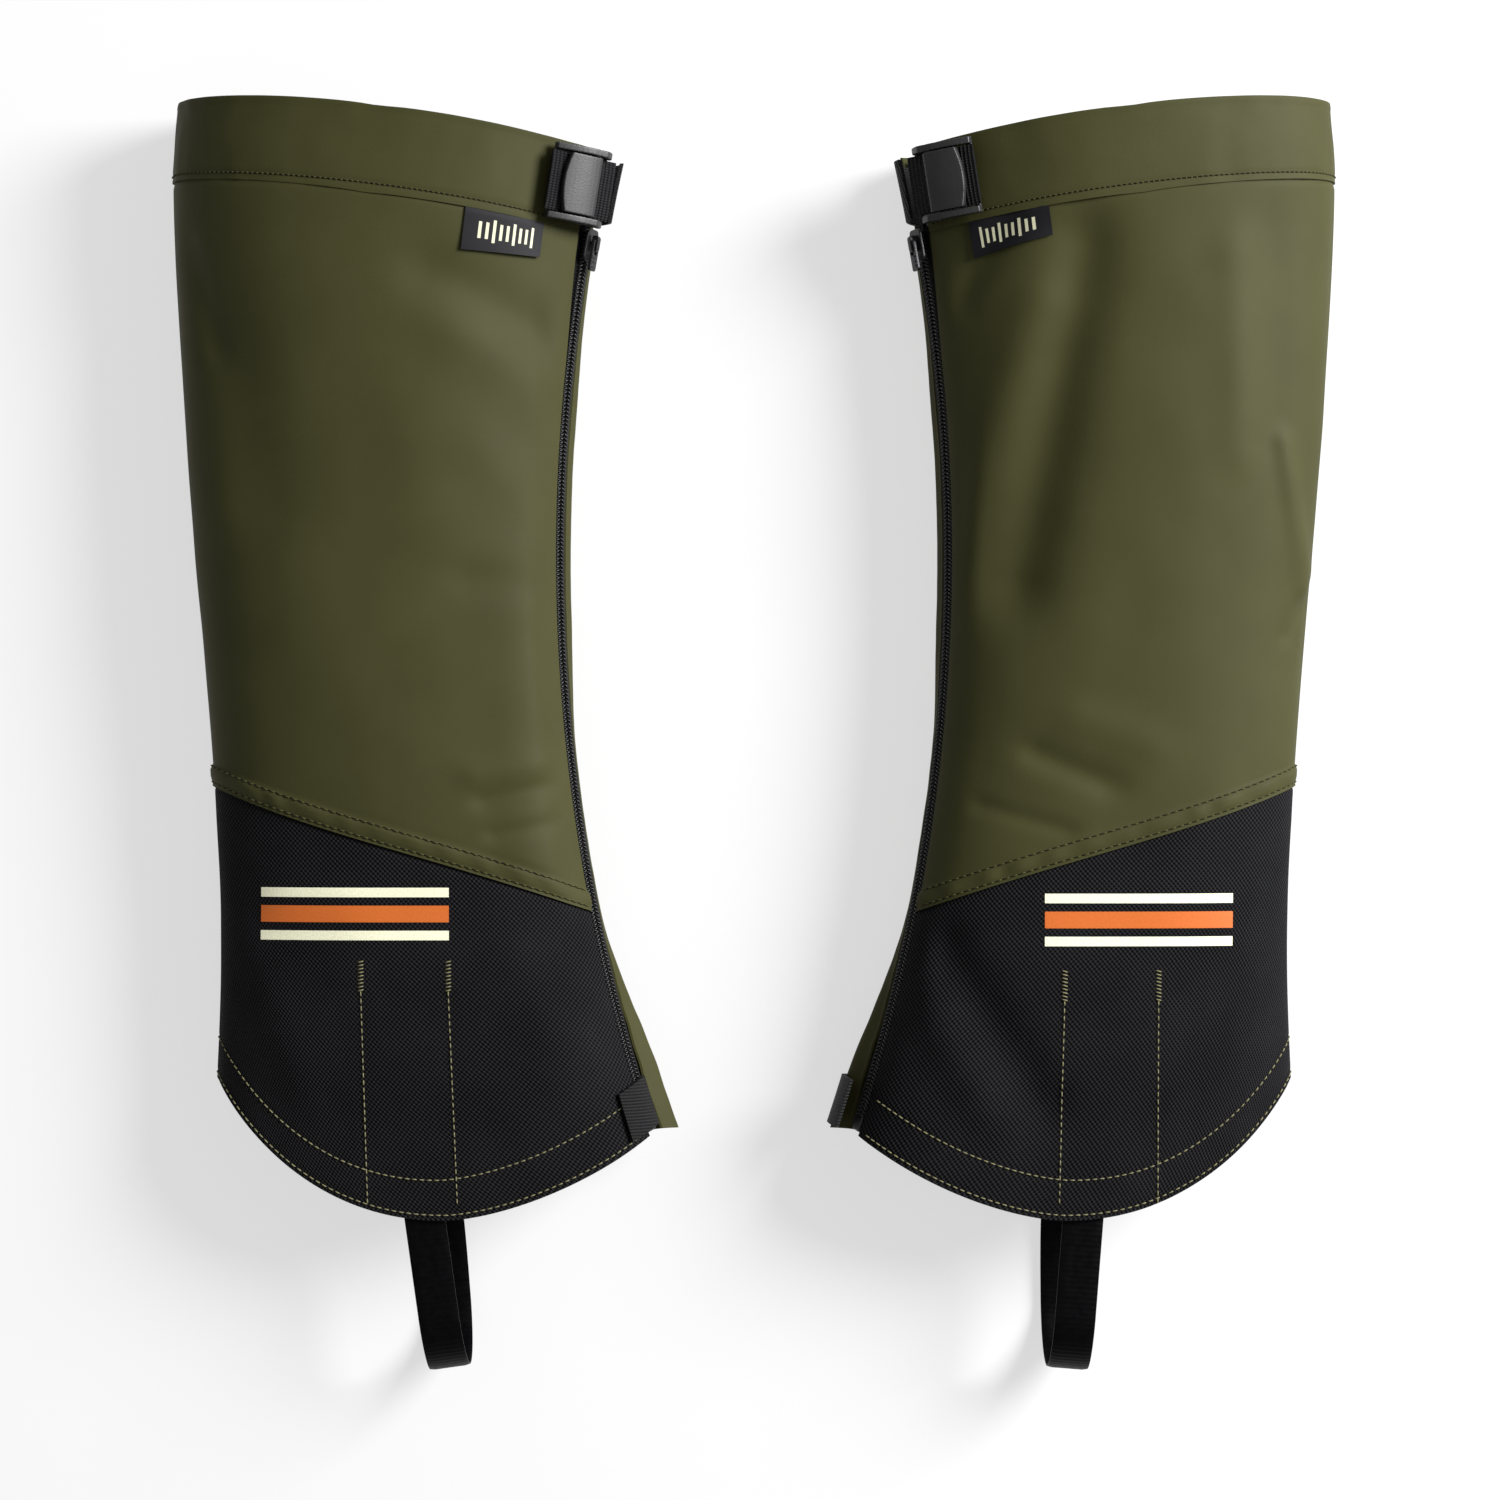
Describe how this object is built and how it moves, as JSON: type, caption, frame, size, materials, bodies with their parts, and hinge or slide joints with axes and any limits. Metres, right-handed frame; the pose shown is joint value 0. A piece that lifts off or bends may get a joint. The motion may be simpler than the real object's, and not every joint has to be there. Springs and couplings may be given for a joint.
{
  "type": "gaiters",
  "caption": "Knee-high hiking gaiters lying flat: two-tone cloth shells with front zips, hook strips, cam-buckled cuff straps and under-boot straps.",
  "frame": {"origin": "on the surface that the pair lies on, midway between the two gaiters", "axes": "+Y up the legs, from the hems to the cuffs; +Z off the surface, out of the gaiters' outer faces; +X across the pair, from the right-leg gaiter to the left-leg one"},
  "size_m": [0.493, 0.537, 0.0699],
  "materials": {
    "shell_cloth": "coated plain-weave cloth, olive",
    "reinforcement_cloth": "heavy basket-weave cloth, black",
    "lining_cloth": "light plain-weave cloth, dark grey",
    "hook_tape": "hook tape and zip tape, black",
    "webbing": "ribbed webbing, black",
    "coated_strap": "smooth coated strap, black",
    "zip_coil": "moulded coil, black",
    "moulded_plastic": "satin moulding, dark grey",
    "metal_fittings": "dark plated metal, satin"
  },
  "bodies": {
    "right_shell": {"right_upper_outer_panel": "shell_cloth", "right_upper_inner_panel": "shell_cloth", "right_lower_outer_panel": "reinforcement_cloth", "right_lower_inner_panel": "reinforcement_cloth", "right_back_seam_tape": "lining_cloth", "right_front_placket": "shell_cloth", "right_hook_strip": "hook_tape", "right_zip_tape_outer": "hook_tape", "right_zip_tape_inner": "hook_tape", "right_zip_coil_outer": "zip_coil", "right_zip_coil_inner": "zip_coil", "right_zip_end_box": "moulded_plastic", "right_cuff_band": "shell_cloth", "right_cuff_lining": "lining_cloth", "right_cuff_strap": "webbing", "right_buckle_frame": "moulded_plastic", "right_buckle_anchor": "webbing", "right_strap_end_outer": "coated_strap", "right_strap_end_inner": "coated_strap", "right_strap_adjuster": "moulded_plastic", "right_strap_sleeve_outer": "lining_cloth", "right_strap_sleeve_inner": "lining_cloth", "right_label_tab": "webbing", "right_bottom_tab": "webbing", "right_lace_hook": "metal_fittings"},
    "right_zip_slider": {"right_zip_slider": "metal_fittings"},
    "right_zip_pull": {"right_zip_pull": "metal_fittings"},
    "right_cam_lever": {"right_buckle_lever": "moulded_plastic"},
    "right_strap_tail": {"right_cuff_strap_tail": "webbing"},
    "right_instep_loop": {"right_instep_strap": "coated_strap"},
    "left_shell": {"left_upper_outer_panel": "shell_cloth", "left_upper_inner_panel": "shell_cloth", "left_lower_outer_panel": "reinforcement_cloth", "left_lower_inner_panel": "reinforcement_cloth", "left_back_seam_tape": "lining_cloth", "left_front_placket": "shell_cloth", "left_hook_strip": "hook_tape", "left_zip_tape_outer": "hook_tape", "left_zip_tape_inner": "hook_tape", "left_zip_coil_outer": "zip_coil", "left_zip_coil_inner": "zip_coil", "left_zip_end_box": "moulded_plastic", "left_cuff_band": "shell_cloth", "left_cuff_lining": "lining_cloth", "left_cuff_strap": "webbing", "left_buckle_frame": "moulded_plastic", "left_buckle_anchor": "webbing", "left_strap_end_outer": "coated_strap", "left_strap_end_inner": "coated_strap", "left_strap_adjuster": "moulded_plastic", "left_strap_sleeve_outer": "lining_cloth", "left_strap_sleeve_inner": "lining_cloth", "left_label_tab": "webbing", "left_bottom_tab": "webbing", "left_lace_hook": "metal_fittings"},
    "left_zip_slider": {"left_zip_slider": "metal_fittings"},
    "left_zip_pull": {"left_zip_pull": "metal_fittings"},
    "left_cam_lever": {"left_buckle_lever": "moulded_plastic"},
    "left_strap_tail": {"left_cuff_strap_tail": "webbing"},
    "left_instep_loop": {"left_instep_strap": "coated_strap"}
  },
  "joints": [
    {"name": "pair_spacing", "type": "slide", "parent": "right_shell", "child": "left_shell", "axis": [1, 0, 0], "range_m": [0, 0.2]},
    {"name": "right_zip_travel", "type": "hinge", "parent": "right_shell", "child": "right_zip_slider", "pos_m": [0.684, 0.076, 0.036], "axis": [0, 0, 1], "range_deg": [0, 25.2]},
    {"name": "right_pull_swing", "type": "hinge", "parent": "right_zip_slider", "child": "right_zip_pull", "pos_m": [-0.06681, 0.20887, 0.03558], "axis": [-0.369, 0.0646, 0.9272], "range_deg": [0, 120]},
    {"name": "right_lever_lift", "type": "hinge", "parent": "right_shell", "child": "right_cam_lever", "pos_m": [-0.06731, 0.23042, 0.04938], "axis": [0.1588, 0.9869, 0.0269], "range_deg": [0, 85]},
    {"name": "right_strap_pull", "type": "slide", "parent": "right_shell", "child": "right_strap_tail", "axis": [-0.792, 0.111, 0.6004], "range_m": [0, 0.012]},
    {"name": "right_instep_swing", "type": "hinge", "parent": "right_shell", "child": "right_instep_loop", "pos_m": [-0.138, -0.2027, 0.025], "axis": [0, 0, 1], "range_deg": [-40, 40]},
    {"name": "left_zip_travel", "type": "hinge", "parent": "left_shell", "child": "left_zip_slider", "pos_m": [-0.684, 0.076, 0.036], "axis": [0, 0, -1], "range_deg": [0, 25.2]},
    {"name": "left_pull_swing", "type": "hinge", "parent": "left_zip_slider", "child": "left_zip_pull", "pos_m": [0.06681, 0.20887, 0.03558], "axis": [-0.369, -0.0646, -0.9272], "range_deg": [0, 120]},
    {"name": "left_lever_lift", "type": "hinge", "parent": "left_shell", "child": "left_cam_lever", "pos_m": [0.07434, 0.23187, 0.05475], "axis": [0.154, -0.9878, -0.0249], "range_deg": [0, 85]},
    {"name": "left_strap_pull", "type": "slide", "parent": "left_shell", "child": "left_strap_tail", "axis": [0.8446, 0.1185, 0.5222], "range_m": [0, 0.012]},
    {"name": "left_instep_swing", "type": "hinge", "parent": "left_shell", "child": "left_instep_loop", "pos_m": [0.138, -0.2027, 0.025], "axis": [0, 0, -1], "range_deg": [-40, 40]}
  ]
}
